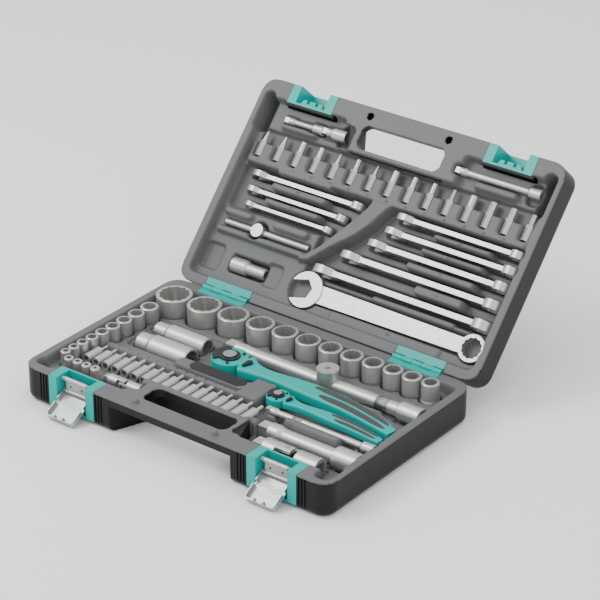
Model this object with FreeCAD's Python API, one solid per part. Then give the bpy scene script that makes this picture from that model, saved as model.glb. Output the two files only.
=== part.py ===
"""A socket wrench set in its open blow-moulded case.

The base lies on its back with the tools facing up, and the lid is swung open about the
hinge pins behind it. +X runs along the hinge, +Y points to the back, +Z points up, and the
origin is on the underside of the base, at its middle.

Shapes are drawn in plan, as (x, v, z): v is the distance from the hinge axis towards the
front edge, and z is the height above the rim. stow() then puts a piece in the base or lid.
"""

import FreeCAD, Part
import math
import os
from FreeCAD import Placement, Rotation, Vector

os.makedirs("parts", exist_ok=True)
doc = FreeCAD.newDocument("socket_set")

# ------------------------------------------------------------------ driving dimensions
DIMENSIONS = {
    # the case
    "case_width": 415, "case_depth": 259, "base_height": 42, "lid_height": 38,
    "corner_radius": 17, "edge_radius": 9, "shell_wall": 2.4, "tray_wall": 1.8,
    "tray_flange": 1.6, "fit_gap": 0.3, "hinge_gap": 1, "face_gap": 0.4,
    "open_angle": 132, "side_rim": 11, "front_rim": 25, "back_rim": 16,
    "base_floor": 13, "base_deep": 20, "base_land": 4, "lid_floor": 13, "lid_deep": 22,
    "lid_land": 4,
    # the carrying handle
    "handle_width": 114, "handle_bar": 22, "handle_room": 29, "handle_thick": 10,
    "handle_wall": 4, "peg_radius": 3.5, "peg_height": 5, "peg_spacing": 108,
    # the hinges
    "hinge_spacing": 268, "hinge_width": 64, "hinge_leaf": 12, "hinge_thick": 3,
    "hinge_barrel": 3.6, "hinge_pin": 1.5, "pin_clearance": 0.06,
    # the latches
    "latch_spacing": 273, "latch_width": 64, "latch_room": 23, "latch_wall": 2.5,
    "link_width": 30, "link_length": 14.5, "sheet_steel": 1.2, "latch_pin": 1.5,
    "link_drop": 3.5, "lever_width": 38, "lever_length": 35, "lever_depth": 6.5,
    "lever_angle": 30, "hook_width": 3, "hook_spacing": 12,
    # sockets
    "half_gap": 2.4, "half_top": 7.5, "half_back": 24, "half_square": 12.7,
    "quarter_top": 4, "quarter_square": 6.35, "quarter_height": 25,
    "pocket_gap": 1, "rest_gap": 0.3,
    "bit_socket_pitch": 13.65, "bit_socket_radius": 5.3, "bit_socket_floor": 13.4,
    "bit_pitch": 26.3, "bit_length": 31, "bit_radius": 4.4,
    # bars
    "half_bar": 8, "half_bar_end": 11, "long_bar_length": 262, "short_bar_length": 127,
    "quarter_bar": 3.7, "quarter_bar_end": 6, "tee_head": 12.5,
    # ratchets
    "half_head": 21, "half_ratchet_length": 232, "half_grip": 12.5,
    "quarter_head": 13, "quarter_ratchet_length": 140, "quarter_grip": 7.4,
    # wrenches
    "wrench_side_top": 8.5,
}

dims = doc.addObject("Spreadsheet::Sheet", "dims")
for row, (name, value) in enumerate(DIMENSIONS.items(), start=1):
    dims.set(f"A{row}", name)
    dims.set(f"B{row}", str(value))
    dims.setAlias(f"B{row}", name)
doc.recompute()


def size(name):
    """The value of one driving dimension, read from the sheet."""
    return float(dims.get(name))


WIDTH, DEPTH = size("case_width"), size("case_depth")
BASE_H, LID_H = size("base_height"), size("lid_height")
BACK = size("hinge_gap")
FRONT = BACK + DEPTH
HINGE_Y = BACK + DEPTH / 2
WALL, SKIN = size("shell_wall"), size("tray_wall")
FIT, GAP, REST = size("fit_gap"), size("pocket_gap"), size("rest_gap")
RIM = -size("face_gap") / 2
SEAT = RIM - size("tray_flange")
HALF_SQUARE, QUARTER_SQUARE = size("half_square"), size("quarter_square")
HANDLE_X = size("handle_width") / 2
HANDLE_BACK = FRONT - size("handle_bar") - size("handle_room")
LATCH_X = size("latch_spacing") / 2
LATCH_HALF = size("latch_width") / 2
LATCH_BACK = FRONT - size("latch_room")

parts = []


# ------------------------------------------------------------------ drawing helpers
def box(x0, x1, v0, v1, z0, z1):
    return Part.makeBox(x1 - x0, v1 - v0, z1 - z0, Vector(x0, v0, z0))


def rod(x, v, z, radius, length, axis=(0, 0, 1)):
    return Part.makeCylinder(radius, length, Vector(x, v, z), Vector(*axis))


def fused(shapes):
    return shapes[0].multiFuse(shapes[1:]) if len(shapes) > 1 else shapes[0]


def prism(points, z0, z1):
    """A straight-sided block over a polygon."""
    corners = [Vector(x, v, z0) for x, v in points]
    return Part.Face(Part.makePolygon(corners + corners[:1])).extrude(Vector(0, 0, z1 - z0))


def regular(x, v, radius, corners, turn=0.0):
    """The corners of a regular polygon."""
    step = 2 * math.pi / corners
    return [
        (x + radius * math.cos(turn + i * step), v + radius * math.sin(turn + i * step))
        for i in range(corners)
    ]


def bihex(x, v, across):
    """The outline of a twelve-point drive of the given width across flats."""
    outer = across / math.sqrt(3)
    inner = outer * math.cos(math.radians(30)) / math.cos(math.radians(15))
    return [
        (
            x + (inner if i % 2 else outer) * math.cos(i * math.pi / 12),
            v + (inner if i % 2 else outer) * math.sin(i * math.pi / 12),
        )
        for i in range(24)
    ]


def square(x, v, across):
    return regular(x, v, across / math.sqrt(2), 4, math.pi / 4)


def slab(x0, x1, v0, v1, z0, z1, radius=3.0):
    """A block with rounded upright corners."""
    block = box(x0, x1, v0, v1, z0, z1)
    upright = [e for e in block.Edges if abs(e.Vertexes[0].Z - e.Vertexes[1].Z) > 0.1]
    return block.makeFillet(min(radius, (x1 - x0) * 0.49, (v1 - v0) * 0.49), upright)


def turned(profile):
    """A solid turned about the z axis from (radius, z) points."""
    corners = [Vector(r, 0, z) for r, z in profile]
    return Part.Face(Part.makePolygon(corners + corners[:1])).revolve(
        Vector(0, 0, 0), Vector(0, 0, 1), 360
    )


def laid(shape, x, v, z):
    """Lays a shape drawn standing on z along +x, with its foot at a place."""
    shape = shape.copy()
    shape.rotate(Vector(0, 0, 0), Vector(0, 1, 0), 90)
    shape.translate(Vector(x, v, z))
    return shape


def at(shape, x, v, z, turn=0.0):
    """Turns a shape about z and moves it to a place."""
    shape = shape.copy()
    shape.rotate(Vector(0, 0, 0), Vector(0, 0, 1), turn)
    shape.translate(Vector(x, v, z))
    return shape


def stow(label, shape, home="base"):
    """Keeps a shape drawn in plan as a finished sub-part in the base or in the lid."""
    thing = doc.addObject("Part::Feature", label)
    lean = Rotation()
    if home == "base":
        shape = shape.mirror(Vector(0, 0, 0), Vector(0, 1, 0))
    else:
        lean = Rotation(Vector(1, 0, 0), 180 - size("open_angle"))
    thing.Shape = shape
    thing.Placement = Placement(Vector(0, HINGE_Y, BASE_H), lean).multiply(shape.Placement)
    thing.Label = label
    parts.append(thing)


def round_pocket(x, v, radius, floor):
    return (lambda grow: rod(x, v, floor - grow, radius + grow, 60))


def long_pocket(x0, x1, v0, v1, floor, radius=3.0):
    return (
        lambda grow: slab(
            x0 - grow, x1 + grow, v0 - grow, v1 + grow, floor - grow, floor + 60, radius + grow
        )
    )


base_pockets, lid_pockets = [], []


# ------------------------------------------------------------------ sockets
def socket(across, radius, height, drive, base_radius=None, hollow=0.55):
    """A twelve-point socket standing on its drive end, its foot at z = 0."""
    foot = base_radius or radius
    waist = height * 0.42
    body = turned([
        (0, 0), (foot - 0.8, 0), (foot, 0.8), (foot, waist), (radius, waist + 2.5),
        (radius, height - 0.8), (radius - 0.8, height), (0, height),
    ])
    deep = height * hollow
    body = body.cut(prism(bihex(0, 0, across), height - deep, height + 1))
    return body.cut(prism(square(0, 0, drive + 0.2), -1, height - deep + 1))


# the twelve half-inch sockets stand along the back, their back edges in one line
HALF_SOCKETS = [  # across flats, outer diameter, height
    (32, 42, 42), (30, 40, 42), (27, 36.5, 41), (24, 32.5, 40), (22, 30, 40), (21, 28.5, 39),
    (19, 27, 39), (18, 26, 38), (17, 24.5, 38), (15, 22.5, 38), (14, 22, 38), (13, 20, 38),
]
stack, edge = [], -WIDTH / 2 + 14.5
for across, diameter, height in HALF_SOCKETS:
    x, v = edge + diameter / 2, size("half_back") + diameter / 2
    foot = size("half_top") - height
    stack.append(at(socket(across, diameter / 2, height, HALF_SQUARE, max(diameter / 2, 11)),
                    x, v, foot))
    base_pockets.append(round_pocket(x, v, max(diameter / 2, 11) + GAP, foot))
    edge += diameter + size("half_gap")
stow("sockets_half", Part.makeCompound(stack))

# nine quarter-inch sockets stand down the left side and four more along the front
QUARTER_COLUMN = [  # across flats, outer diameter, distance from the hinge
    (14, 21, 80), (13, 19, 101.5), (12, 18, 121.5), (11, 16.5, 140), (10, 15.5, 157),
    (9, 14.2, 173), (8, 13, 187.8), (7, 12, 201.5), (6, 11.5, 214.5),
]
QUARTER_ROW = [(5.5, 11, -171), (5, 11, -158.3), (4.5, 11, -145.6), (4, 11, -132.9)]
quarter_x = -WIDTH / 2 + 17.5
row_v = 224
places = [(a, d, quarter_x + d / 2, v) for a, d, v in QUARTER_COLUMN]
places += [(a, d, x, row_v) for a, d, x in QUARTER_ROW]
stack = []
foot = size("quarter_top") - size("quarter_height")
for across, diameter, x, v in places:
    stack.append(at(socket(across, diameter / 2, size("quarter_height"), QUARTER_SQUARE,
                           hollow=0.45), x, v, foot))
    base_pockets.append(round_pocket(x, v, diameter / 2 + GAP * 0.7, foot))
stow("sockets_quarter", Part.makeCompound(stack))

# seventeen bit sockets lie side by side, each a sleeve with a driver tip
TIPS = ["hex", "hex", "hex", "hex", "hex", "star", "star", "star", "star", "star", "star",
        "cross", "cross", "cross", "slot", "slot", "slot"]
BIT_SOCKET_V, BIT_SOCKET_END, BIT_TIP_V = 177, 199, 164.5
bit_r = size("bit_socket_radius")
trough = -size("bit_socket_floor")
stack = []
first = -169.0
for i, tip in enumerate(TIPS):
    x, z = first + i * size("bit_socket_pitch"), trough + bit_r
    sleeve = rod(x, BIT_SOCKET_V, z, bit_r, BIT_SOCKET_END - BIT_SOCKET_V, (0, 1, 0))
    reach = bit_r * (0.30 + 0.035 * (i % 6))
    shank = rod(x, BIT_TIP_V, z, reach, BIT_SOCKET_V + 3 - BIT_TIP_V, (0, 1, 0))
    mouth = box(x - QUARTER_SQUARE / 2, x + QUARTER_SQUARE / 2, BIT_SOCKET_END - 9,
                BIT_SOCKET_END + 1, z - QUARTER_SQUARE / 2, z + QUARTER_SQUARE / 2)
    stack.append(sleeve.fuse(shank).cut(mouth))
last = first + (len(TIPS) - 1) * size("bit_socket_pitch")
base_pockets.append(long_pocket(first - bit_r - GAP, last + bit_r + GAP, BIT_TIP_V - 2,
                                BIT_SOCKET_END + GAP, trough))
stow("bit_sockets", Part.makeCompound(stack))

# two spark plug sockets lie along the hinge
for label, across, radius, x0, x1, v in [
    ("spark_plug_socket_large", 21, 14, -156, -84, 122.5),
    ("spark_plug_socket_small", 16, 11.5, -157, -85, 92),
]:
    z = -2 - radius
    length = x1 - x0
    body = turned([(0, 0), (radius - 3, 0), (radius - 2, 1), (radius - 2, 16), (radius, 20),
                   (radius, length - 1), (radius - 1, length), (0, length)])
    body = body.cut(prism(bihex(0, 0, across), 22, length + 1))
    body = body.cut(prism(square(0, 0, HALF_SQUARE + 0.2), -1, 24))
    stow(label, laid(body, x0, v, z))
    base_pockets.append(long_pocket(x0 - GAP, x1 + GAP, v - radius - GAP, v + radius + GAP,
                                    z - radius - REST))


# ------------------------------------------------------------------ bars
def bar(length, shaft, end, drive, end_length):
    """An extension bar on z: a square drive at its foot and a square socket at its head."""
    tang = drive * 1.05
    shape = turned([
        (0, tang), (end * 0.8, tang), (end * 0.8, tang + drive * 0.9), (shaft, tang + drive * 1.4),
        (shaft, length - end_length - 3), (end, length - end_length),
        (end, length - 0.8), (end - 0.8, length), (0, length),
    ])
    shape = shape.fuse(prism(square(0, 0, drive), 0, tang + 1))
    shape = shape.fuse(Part.makeSphere(drive * 0.14, Vector(0, -drive / 2, tang * 0.55)))
    return shape.cut(prism(square(0, 0, drive + 0.2), length - drive * 1.15, length + 1))


def lay_bar(label, x0, length, v, top, shaft, end, drive, end_length, home="base"):
    """Lays a bar in a pocket that follows its shaft and its wide end."""
    z = top - end
    stow(label, laid(bar(length, shaft, end, drive, end_length), x0, v, z), home)
    pockets = base_pockets if home == "base" else lid_pockets
    for a, b, half in ((0, length, shaft), (0, drive * 2.5, end * 0.8),
                       (length - end_length - 3, length, end)):
        pockets.append(long_pocket(x0 + a - GAP, x0 + b + GAP, v - half - GAP,
                                   v + half + GAP, z - half - REST))


half_bar, half_end = size("half_bar"), size("half_bar_end")
quarter_bar, quarter_end = size("quarter_bar"), size("quarter_bar_end")
long_v, long_x = 75.0, -69.0
lay_bar("extension_half_long", long_x, size("long_bar_length"), long_v, -1.5, half_bar,
        half_end, HALF_SQUARE, 26)
lay_bar("extension_half_short", 69, size("short_bar_length"), 190, -1.5, half_bar + 0.5,
        half_end + 1.5, HALF_SQUARE, 28)
lay_bar("extension_quarter_long", 57, 140, 165, -1.5, quarter_bar, quarter_end,
        QUARTER_SQUARE, 14)
lay_bar("extension_quarter_short", -167, 56, 219, -7, quarter_bar, quarter_end,
        QUARTER_SQUARE, 14, "lid")
lay_bar("extension_quarter_medium", 75, 112, 221, -1.5, quarter_bar, quarter_end,
        QUARTER_SQUARE, 14, "lid")

# the sliding tee head stands on the long bar and slides along it
tee_x, tee_r = 69.0, size("tee_head")
bar_z = -1.5 - half_end
head_slide = 2.0
tee = rod(tee_x, long_v, bar_z - tee_r, tee_r, tee_r + 6.5 - bar_z)
tee = tee.cut(rod(tee_x - 30, long_v, bar_z, half_bar + 0.3, 60, (1, 0, 0)))
tee = tee.cut(rod(tee_x, long_v, 3.5, 3.2, 10))
stow("sliding_head", tee)
base_pockets.append(round_pocket(tee_x, long_v, tee_r + GAP + head_slide,
                                 bar_z - tee_r - REST))

# the small adapter and the bit adapter lie in the lid
adapter = turned([(0, 6), (4.8, 6), (4.8, 12), (7, 15), (7, 32), (6.2, 32.8), (0, 32.8)])
adapter = adapter.fuse(prism(square(0, 0, QUARTER_SQUARE), 0, 7))
adapter = adapter.cut(prism(square(0, 0, 9.7), 21, 34))
stow("square_adapter", laid(adapter, -109.2, 219, -9), "lid")
lid_pockets.append(long_pocket(-109.2 - GAP, -76.4 + GAP, 219 - 7 - GAP, 219 + 7 + GAP,
                               -16 - REST))
adapter = turned([(0, 0), (9, 0), (9.5, 0.8), (9.5, 20), (7, 23), (7, 46), (6, 47), (0, 47)])
adapter = adapter.cut(prism(square(0, 0, HALF_SQUARE + 0.2), -1, 15))
adapter = adapter.cut(prism(regular(0, 0, 4.9, 6), 30, 48))
stow("bit_adapter", laid(adapter, -154, 39.5, -19.5), "lid")
lid_pockets.append(long_pocket(-154 - GAP, -107 + GAP, 30 - GAP, 49 + GAP, -29 - REST))

# the small tee bar: a plain rod with a disc head that slides on it
tee_rod = rod(-185, 83.5, -14.5, quarter_bar, 120, (1, 0, 0))
stow("tee_bar", tee_rod, "lid")
disc = rod(-137, 83.5, -14.5 - 7, 8, 14)
disc = disc.cut(rod(-160, 83.5, -14.5, quarter_bar + 0.3, 60, (1, 0, 0)))
disc = disc.fuse(prism(square(-137, 83.5, QUARTER_SQUARE), -28, -21))
stow("tee_bar_head", disc, "lid")
lid_pockets.append(long_pocket(-185 - GAP, -65 + GAP, 83.5 - quarter_bar - GAP,
                               83.5 + quarter_bar + GAP, -14.5 - quarter_bar - REST))
lid_pockets.append(round_pocket(-137, 83.5, 8 + GAP + head_slide, -28 - REST))


# ------------------------------------------------------------------ ratchets
# the handle's line, from the head's centre to its end: distance, sideways offset, half width
HANDLE_LINE = [(0.10, 0.0, 1.36), (0.20, 0.19, 0.76), (0.30, 0.15, 0.74), (0.43, 0.12, 0.95),
               (0.56, 0.14, 1.04), (0.71, 0.26, 1.0), (0.86, 0.56, 0.90), (1.0, 1.0, 0.62)]


def strip(line, z0, z1):
    """A flat bar whose sides run smoothly through (distance, offset, half width) stations."""
    left, right = Part.BSplineCurve(), Part.BSplineCurve()
    left.interpolate([Vector(d, o - h, z0) for d, o, h in line])
    right.interpolate([Vector(d, o + h, z0) for d, o, h in line])
    edges = [left.toShape(), right.toShape()]
    for k in (0, -1):
        d, o, h = line[k]
        bulge = h * (0.25 if k == 0 else -0.45)
        edges.append(Part.Arc(Vector(d, o - h, z0), Vector(d - bulge, o, z0),
                              Vector(d, o + h, z0)).toShape())
    wire = Part.Wire(Part.__sortEdges__(edges))
    return Part.Face(wire).extrude(Vector(0, 0, z1 - z0))


def ratchet(label, x, v, radius, reach, sweep, grip, drive, top):
    """A pear-headed ratchet lying on its drive, its curved handle running off to the right."""
    thick = radius * 0.62 + 2
    low = top - thick
    line = [(d * reach, o * sweep, h * grip) for d, o, h in HANDLE_LINE]
    handle = strip(line, low + 1, top)
    sides = [e for e in handle.Edges if e.BoundBox.XLength > reach * 0.5]
    handle = handle.makeFillet(thick * 0.25, sides)
    shaft_r = drive * 0.72
    head = rod(0, 0, low, radius, thick)
    rim = [e for e in head.Edges if e.Closed]
    head = head.makeFillet(1.2, rim).fuse(handle)
    head = head.cut(rod(0, 0, low - 1, shaft_r + size("pin_clearance"), thick - 3))
    well_r = radius * 0.36
    head = head.cut(rod(0, 0, top - 3.5, well_r + 1.2, 4))
    inlay = 1.4
    grips = []
    for middle, half, start in ((-0.46, 0.34, 0.50), (0.46, 0.34, 0.56)):
        curve = []
        for k in range(7):
            d = start + (0.965 - start) * k / 6
            a = next(i for i in range(len(line) - 1) if HANDLE_LINE[i + 1][0] >= d)
            t = (d - HANDLE_LINE[a][0]) / (HANDLE_LINE[a + 1][0] - HANDLE_LINE[a][0])
            o, h = (line[a][j] * (1 - t) + line[a + 1][j] * t for j in (1, 2))
            slim = 0.55 if k in (0, 6) else 1
            curve.append((d * reach, o + middle * h, half * h * slim))
        grips.append(strip(curve, top - inlay, top))
    grips = Part.makeCompound(grips)
    head = head.cut(grips)
    stow(label + "_body", at(head, x, v, 0))
    stow(label + "_grips", at(grips, x, v, 0))
    nose = rod(0, 0, top, radius - 1.4, 1.8).common(
        prism([(0, 0), (-radius * 1.2, -radius * 1.9), (-radius * 1.8, -radius * 0.2),
               (-radius * 1.2, radius * 1.9)], top - 1, top + 3))
    cover = nose.fuse(rod(0, 0, top, radius * 0.56, 1.8))
    cover = cover.cut(rod(0, 0, top - 1, well_r + 0.3, 4))
    for angle in (-50, 62):
        screw = rod(radius * 0.76, 0, top - 0.5, radius * 0.085, 2)
        screw.rotate(Vector(0, 0, 0), Vector(0, 0, 1), angle)
        cover = Part.makeCompound([cover, screw.cut(rod(0, 0, top - 9, radius * 3, 9))])
    stow(label + "_cover", at(cover, x, v, 0))
    button = rod(0, 0, top - 1.2, well_r, 1.2 + 1.8 + 1.6)
    stow(label + "_button", at(button, x, v, 0))
    pivot = radius * 1.32
    lever = rod(pivot, 0, top + FIT, radius * 0.17, 2.2)
    lever = lever.fuse(prism([(pivot, -radius * 0.17), (pivot + radius * 0.5, -radius * 0.06),
                              (pivot + radius * 0.5, radius * 0.06), (pivot, radius * 0.17)],
                             top + FIT, top + FIT + 2.2))
    lever.rotate(Vector(pivot, 0, 0), Vector(0, 0, 1), 100)
    stow(label + "_selector", at(lever, x, v, 0))
    tang = drive * 1.15
    spindle = rod(0, 0, low - 1.6, shaft_r, thick - 3 + 1.6 - 1 - FIT)
    spindle = spindle.fuse(prism(square(0, 0, drive), low - 1.6 - tang, low - 1))
    spindle = spindle.fuse(Part.makeSphere(drive * 0.14, Vector(drive / 2, 0, low - tang * 0.6)))
    stow(label + "_drive", at(spindle, x, v, 0))
    base_pockets.append(round_pocket(x, v, radius + GAP, low - REST - 1.6))
    base_pockets.append(round_pocket(x, v, shaft_r + drive * 0.2 + GAP,
                                     low - 1.6 - tang - REST))

    def way(grow):
        spread = GAP + grow
        wide = [(d + (spread if d == line[-1][0] else 0), o, h + spread) for d, o, h in line]
        return at(strip(wide, low + 1 - REST - grow, low + 60), x, v, 0)

    base_pockets.append(way)


half_v = long_v + half_end + GAP + size("half_head")
ratchet("ratchet_half", -40, half_v, size("half_head"), size("half_ratchet_length"), 21.5,
        size("half_grip"), HALF_SQUARE, -1.2)
ratchet("ratchet_quarter", 54, 143, size("quarter_head"), size("quarter_ratchet_length"),
        9, size("quarter_grip"), QUARTER_SQUARE, -1.2)


# ------------------------------------------------------------------ universal joints
def universal(label, x, v, radius, drive, front, rear, swing):
    """A square drive and a square socket, hinged together by a cross of two pins."""
    z = -1.5 - radius
    ear, arm = radius * 0.36, radius * 0.42
    pin = radius * 0.26
    joint = x + front
    half = radius - 0.4

    def fork(length, drilled_along):
        stem = rod(0, 0, 0, radius, length - radius * 1.15)
        ears = rod(0, 0, 0, radius, length + radius * 0.55)
        ears = ears.common(fused([
            box(-half, -half + ear, -radius, radius, 0, length + radius),
            box(half - ear, half, -radius, radius, 0, length + radius),
        ]))
        ears = ears.common(fused([
            box(-radius, radius, -arm * 1.2, arm * 1.2, 0, length + radius),
        ]))
        shape = stem.fuse(ears)
        hole = rod(-radius - 1, 0, length, pin + size("pin_clearance"), 2 * radius + 2, (1, 0, 0))
        shape = shape.cut(hole)
        if drilled_along == "v":
            shape.rotate(Vector(0, 0, 0), Vector(0, 0, 1), 90)
        return shape

    # drawn on z; once laid along +x, the drawing's x is down and its y is across
    tang = drive * 1.05
    first = fork(front - tang, "z").fuse(prism(square(0, 0, drive), -tang, 1))
    first = first.fuse(Part.makeSphere(drive * 0.14, Vector(0, -drive / 2, -tang * 0.45)))
    stow(label + "_drive", laid(first, x + tang, v, z))
    block = half - ear - 0.3
    cross = Part.makeBox(2 * block * 0.9, 2 * block * 0.9, 2 * block * 0.9,
                         Vector(-block * 0.9, -block * 0.9, -block * 0.9))
    cross = cross.fuse(rod(-half, 0, 0, pin, 2 * half, (1, 0, 0)))
    cross = cross.fuse(rod(0, -half, 0, pin, 2 * half, (0, 1, 0)))
    stow(label + "_cross", laid(cross, joint, v, z))
    second = fork(rear, "v")
    second = second.cut(prism(square(0, 0, drive + 0.2), -1, drive * 1.1))
    second.rotate(Vector(0, 0, 0), Vector(1, 0, 0), 180)
    second.translate(Vector(0, 0, rear))
    stow(label + "_socket", laid(second, joint, v, z))
    side = radius + GAP + swing
    reach = math.hypot(rear, radius)
    base_pockets.append(long_pocket(x - GAP, joint + reach + GAP, v - side, v + side,
                                    z - radius - REST))


universal("universal_half", 86, 220.5, 11.5, HALF_SQUARE, 42, 41, 1.2)
universal("universal_quarter", -124, 217, 6.2, QUARTER_SQUARE, 26, 24, 0.8)

# ------------------------------------------------------------------ bits in the lid
BIT_ENDS = [3.6, 3.9, 3.7, 3.6, 3.2, 3.0, 2.6, 4.3, 3.4, 3.2, 2.3, 4.6, 4.3, 4.0, 3.0]
BIT_V, bit_x, bit_r = 168, -181.0, size("bit_radius")
bit_z = -6.2 - bit_r * 2 / math.sqrt(3)
stack = []
for i, end in enumerate(BIT_ENDS):
    x, length = bit_x + i * size("bit_pitch"), size("bit_length")
    shank = prism(regular(0, 0, bit_r * 2 / math.sqrt(3), 6, math.pi / 6), 0, length * 0.58)
    if i in (0, 1, 4, 6):
        tip = Part.makeCone(end, end * 0.35, length * 0.42, Vector(0, 0, length * 0.58))
    elif i in (10, 12, 13, 14):
        tip = prism(regular(0, 0, end, 6, math.pi / 6), length * 0.5, length)
    else:
        tip = rod(0, 0, length * 0.5, end, length * 0.5)
    shape = shank.fuse(tip)
    shape.rotate(Vector(0, 0, 0), Vector(1, 0, 0), -90)
    shape.translate(Vector(x, BIT_V, bit_z))
    stack.append(shape)
    side = bit_r * 2 / math.sqrt(3) + 0.6
    lid_pockets.append(long_pocket(x - side, x + side, BIT_V - GAP, BIT_V + length + GAP,
                                   bit_z - bit_r * 2 / math.sqrt(3) - REST, 2))
stow("bits", Part.makeCompound(stack), "lid")


# ------------------------------------------------------------------ combination wrenches
def wrench(across, length, jaw_r, thick):
    """A combination wrench lying flat, its jaws at the origin end and its ring far along x."""
    ring_r = across * 0.68 + 1
    ring_x = length - ring_r
    waist = across * 0.30 + 2
    shank = prism([(jaw_r, -waist * 1.25), (ring_x, -waist), (ring_x, waist),
                   (jaw_r, waist * 1.25)], -thick * 0.36, thick * 0.36)
    head = rod(jaw_r, 0, -thick / 2, jaw_r, thick)
    ring = rod(ring_x, 0, -thick * 0.62, ring_r, thick * 1.24)
    shape = fused([head, shank, ring])
    jaws = box(-jaw_r * 2, 0, -across / 2, across / 2, -thick, thick)
    jaws = jaws.fuse(prism(regular(0, 0, across / math.sqrt(3), 6), -thick, thick))
    jaws.rotate(Vector(0, 0, 0), Vector(0, 0, 1), 15)
    jaws.translate(Vector(jaw_r * 0.82, 0, 0))
    shape = shape.cut(jaws)
    return shape.cut(prism(bihex(ring_x, 0, across), -thick, thick))


# the side wrenches stand on edge in slots: across flats, length, jaw radius, thickness, place
SIDE_WRENCHES = [
    (19, 243, 16.2, 8.6, -48, 65), (17, 217, 15.6, 8.2, -22, 90), (15, 190, 14.6, 7.6, 5, 112),
    (14, 178, 13.8, 7.2, 19, 131.5), (13, 170, 13.0, 7.0, 27, 150.5),
    (12, 160, 12.2, 6.6, -182, 148.5), (10, 144, 10.6, 6.0, -180, 129),
    (8, 126, 8.8, 5.2, -173, 111),
]
for across, length, jaw_r, thick, x, v in SIDE_WRENCHES:
    shape = wrench(across, length, jaw_r, thick)
    shape.rotate(Vector(0, 0, 0), Vector(1, 0, 0), 90)
    top = -0.8 if x > -100 else -size("wrench_side_top")
    shape.translate(Vector(x, v, top - jaw_r))
    stow(f"wrench_{across}", shape, "lid")
    side = thick * 0.62 + GAP
    lid_pockets.append(long_pocket(x - GAP, x + length + GAP, v - side, v + side,
                                   top - 2 * jaw_r - REST))

# the largest lies flat beside the hinge
flat_x, flat_v, flat_top = -67.0, 38.0, -10.5
across, length, jaw_r, thick = 22, 264, 21.5, 9.5
shape = wrench(across, length, jaw_r, thick)
shape.translate(Vector(flat_x, flat_v, flat_top - thick * 0.62))
stow("wrench_22", shape, "lid")
ring_r, floor = across * 0.68 + 1, flat_top - thick * 1.24 - REST
lid_pockets.append(round_pocket(flat_x + jaw_r, flat_v, jaw_r + GAP, floor))
lid_pockets.append(round_pocket(flat_x + length - ring_r, flat_v, ring_r + GAP, floor))
lid_pockets.append(long_pocket(flat_x + jaw_r, flat_x + length - ring_r, flat_v - 12,
                               flat_v + 12, floor))


# ------------------------------------------------------------------ the case
def outline(grow, z0, z1, front=0.0):
    """The plan of the case, drawn in by grow, between two heights."""
    inset = -grow
    return slab(-WIDTH / 2 + inset, WIDTH / 2 - inset, BACK + inset, FRONT - inset, z0, z1,
                size("corner_radius") - inset)


def handle_zone(grow, z0, z1):
    """The hollow in front of the body that the fingers reach into, behind the handle bar."""
    near, far = HANDLE_X + size("handle_wall") + grow, HANDLE_X + 28 + grow
    back = HANDLE_BACK - size("handle_wall") - grow
    return prism([(-near, back), (near, back), (far, FRONT + 5), (-far, FRONT + 5)], z0, z1)


def latch_zone(grow, z0, z1):
    half = LATCH_HALF + 0.3 + grow
    return fused([
        box(side * LATCH_X - half, side * LATCH_X + half, LATCH_BACK - grow, FRONT + 5, z0, z1)
        for side in (-1, 1)
    ])


def hinge_notch():
    """Room in the back edge for the leaves and knuckles of both hinges."""
    half = size("hinge_width") / 2 + FIT
    barrel = size("hinge_barrel") + 0.6
    return fused([
        box(side * size("hinge_spacing") / 2 - half, side * size("hinge_spacing") / 2 + half,
            BACK - 2, far, low, 1)
        for side in (-1, 1)
        for far, low in ((size("hinge_leaf") + 1 + FIT, RIM - size("hinge_thick")),
                         (barrel + 0.6, -barrel))
    ])


def finger_hole(z0, z1):
    return slab(-HANDLE_X, HANDLE_X, HANDLE_BACK, FRONT - size("handle_bar"), z0, z1, 10)


def shell(deep):
    """The outer skin of one half: a tray with a recessed handle and two latch bays."""
    body = outline(0, -deep, SEAT)
    low = [e for e in body.Edges if all(abs(p.Z + deep) < 0.01 for p in e.Vertexes)]
    body = body.makeFillet(size("edge_radius"), low)
    room = outline(-WALL, -deep + WALL, SEAT + 1)
    keep_clear = handle_zone(WALL, -deep - 1, 2).fuse(
        latch_zone(WALL, -deep + size("latch_wall"), 2))
    body = body.cut(room.cut(keep_clear))
    body = body.cut(handle_zone(0, -deep - 1, -size("handle_thick")))
    body = body.cut(finger_hole(-deep - 1, 2))
    body = body.cut(latch_zone(0, -deep + size("latch_wall") + WALL, 2))
    grooves = [
        box(side * LATCH_X + off - 1, side * LATCH_X + off + 1, FRONT - WALL / 2, FRONT + 1,
            -deep + size("edge_radius") / 2, SEAT + 1)
        for side in (-1, 1) for k in (3.5, 7.5, 11.5)
        for off in (-LATCH_HALF - k, LATCH_HALF + k)
    ]
    return body.cut(fused(grooves)).cut(hinge_notch())


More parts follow.
